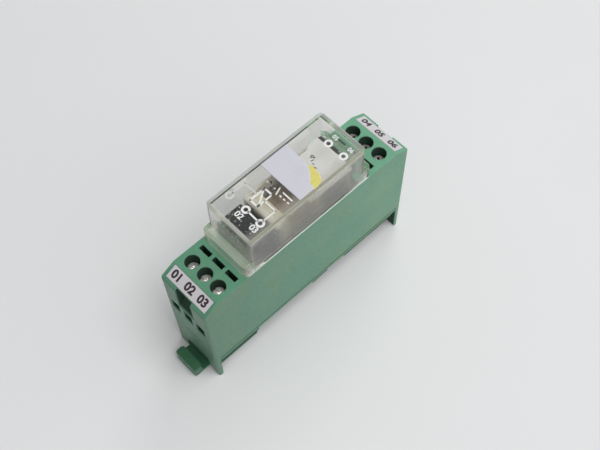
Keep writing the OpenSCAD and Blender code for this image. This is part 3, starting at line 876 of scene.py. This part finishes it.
def hood_paper():
    thick = 0.1 * MM

    def height(x, y, u):
        crease = 0.012 * MM * noise.noise(Vector((x, y, 0)) / (2.2 * MM))
        thin = 0.06 * MM * max(0.0, (u - 0.9) / 0.1)
        return HOOD_TOP + thick + crease - thin

    def build(shape):
        sheet_solid(shape, 70, 40, lambda y: LABEL_LOW.x, torn_x, (LABEL_LOW.y, LABEL_HIGH.y),
                    HOOD_TOP, height)

    label = piece("torn_label", mesh_from("torn_label", build, True), LABEL_PAPER, "hood", "label_paper")
    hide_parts("hood_label")

    glue_low, glue_high = GLUE_EDGE[0][0] * MM, GLUE_EDGE[-1][0] * MM

    def glue_x(y):
        return ragged_edge(GLUE_EDGE, y, 0.5, 9.0)

    def glue_height(x, y, _):
        return HOOD_TOP + (0.03 + 0.02 * noise.noise(Vector((x, y, 0)) / (0.5 * MM))) * MM

    def build_glue(shape):
        sheet_solid(shape, 50, 18, lambda y: torn_x(y) - 0.3 * MM, glue_x, (glue_low, glue_high),
                    HOOD_TOP, glue_height)

    piece("label_glue", mesh_from("label_glue", build_glue, True), GLUE, "hood", "label_paper")


hood_paper()


# Wound coil: ridges of wire turns on the bobbin, tied off under one turn of tape

def coil_turns():
    low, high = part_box("coil_winding")
    middle = (low + high) / 2
    outer = (high.z - low.z) / 2
    inner = 2.35 * MM
    turns, steps, per_turn = 34, 64, 6

    def build(shape):
        pitch = (high.x - low.x) / turns
        profile = []
        for i in range(turns * per_turn + 1):
            phase = 2 * math.pi * i / per_turn
            profile.append((low.x + pitch * i / per_turn, outer - 0.05 * MM * (1 + math.cos(phase))))
        loop = [(low.x, inner), *profile, (high.x, inner)]
        rings = []
        for x, r in loop:
            rings.append([shape.verts.new((x, middle.y + r * math.cos(2 * math.pi * k / steps),
                                           middle.z + r * math.sin(2 * math.pi * k / steps)))
                          for k in range(steps)])
        skin(shape, rings + rings[:1])

    winding = piece("wound_coil", mesh_from("wound_coil", build, True), WINDING, "housing", "copper_winding")
    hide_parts("coil_winding")


coil_turns()


# Return spring of the foot latch: round wire with closed end turns

def return_spring():
    low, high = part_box("latch_spring")
    middle = (low + high) / 2
    wire = 0.15 * MM
    radius = (high.y - low.y) / 2 - wire
    turns, steps, sides = 7, 24, 10
    length = high.x - low.x - 2 * wire
    rise = [(0, 0), (1, 0.33 * MM), (turns - 1, length - 0.33 * MM), (turns, length)]

    def build(shape):
        rings = []
        for i in range(turns * steps + 1):
            x = low.x + wire + along_table(rise, i / steps)
            turn = 2 * math.pi * i / steps
            ring = []
            for k in range(sides):
                a = 2 * math.pi * k / sides
                r = radius + wire * math.cos(a)
                ring.append(shape.verts.new((x + wire * math.sin(a), middle.y + r * math.cos(turn),
                                             middle.z + r * math.sin(turn))))
            rings.append(ring)
        skin(shape, rings)
        shape.faces.new(rings[0][::-1])
        shape.faces.new(rings[-1])

    mesh = mesh_from("return_spring", build, True)
    spring = piece("return_spring", mesh, SPRING, "housing", "spring_steel")
    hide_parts("latch_spring")
    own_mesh(spring)


return_spring()


# ---------- floor, light and camera ----------

def floor_material():
    paint = Paint("floor_paper", (0.8, 0.8, 0.805), 0.6)
    paint.colour(paint.mix(paint.cloud(60, 2), (0.79, 0.79, 0.795), (0.81, 0.81, 0.815)))
    paint.bump(paint.cloud(0.5, 2), 0.01)
    return paint.material


def floor():
    size = 3.0

    def build(shape):
        bmesh.ops.create_grid(shape, x_segments=2, y_segments=2, size=size / 2)

    mesh = mesh_from("floor", build)
    mesh.materials.append(floor_material())
    ground = bpy.data.objects.new("floor", mesh)
    bpy.context.scene.collection.objects.link(ground)


def soft_light(name, place, aim, size, power):
    lamp = bpy.data.lights.new(name, "AREA")
    lamp.shape = "RECTANGLE"
    lamp.size, lamp.size_y = size
    lamp.energy = power
    holder = bpy.data.objects.new(name, lamp)
    holder.location = place
    holder.rotation_euler = (Vector(aim) - Vector(place)).to_track_quat("-Z", "Y").to_euler()
    bpy.context.scene.collection.objects.link(holder)


def surroundings(dim, bright, towards):
    """A plain room that grows from dim to bright in one direction."""
    world = bpy.data.worlds.new("room")
    world.use_nodes = True
    tree = world.node_tree
    place = tree.nodes.new("ShaderNodeTexCoord")
    along = tree.nodes.new("ShaderNodeVectorMath")
    along.operation = "DOT_PRODUCT"
    along.inputs[1].default_value = Vector(towards).normalized()
    ramp = tree.nodes.new("ShaderNodeMapRange")
    ramp.inputs["From Min"].default_value = -0.6
    ramp.inputs["From Max"].default_value = 0.6
    ramp.inputs["To Min"].default_value = dim
    ramp.inputs["To Max"].default_value = bright
    tree.links.new(place.outputs["Generated"], along.inputs[0])
    tree.links.new(along.outputs["Value"], ramp.inputs["Value"])
    background = tree.nodes["Background"]
    background.inputs["Color"].default_value = (0.98, 0.99, 1.0, 1)
    tree.links.new(ramp.outputs["Result"], background.inputs["Strength"])
    bpy.context.scene.world = world


def camera():
    """Above the coil end's front corner, looking down at the module, turned a little."""
    azimuth, elevation, roll = math.radians(-41.822), math.radians(59.882), math.radians(-1.994)
    target = Vector((13.388, 8.242, 7.968)) * MM
    distance = 327.696 * MM
    back = Vector((math.sin(azimuth) * math.cos(elevation), -math.cos(azimuth) * math.cos(elevation),
                   math.sin(elevation)))
    right = (-back).cross(Vector((0, 0, 1))).normalized()
    up = back.cross(right)
    turned_right = right * math.cos(roll) + up * math.sin(roll)
    turned_up = back.cross(turned_right)
    lens = bpy.data.cameras.new("camera")
    lens.lens = 65.115
    lens.sensor_width = 36
    lens.sensor_fit = "HORIZONTAL"
    lens.clip_start = 0.01
    lens.clip_end = 10
    holder = bpy.data.objects.new("camera", lens)
    matrix = Matrix((turned_right, turned_up, back)).transposed().to_4x4()
    matrix.translation = target + back * distance
    holder.matrix_world = matrix
    bpy.context.scene.collection.objects.link(holder)
    bpy.context.scene.camera = holder


floor()
surroundings(0.27, 0.94, (0.32, -0.82, -0.4))
soft_light("overhead", (0.07, -0.3, 0.94), (0, 0, 0), (0.5, 0.5), 4.1)
soft_light("softbox", (0.43, 0.24, 0.49), (0, 0, 0), (0.28, 0.28), 0.6)
camera()
bpy.context.scene.view_settings.view_transform = "Standard"
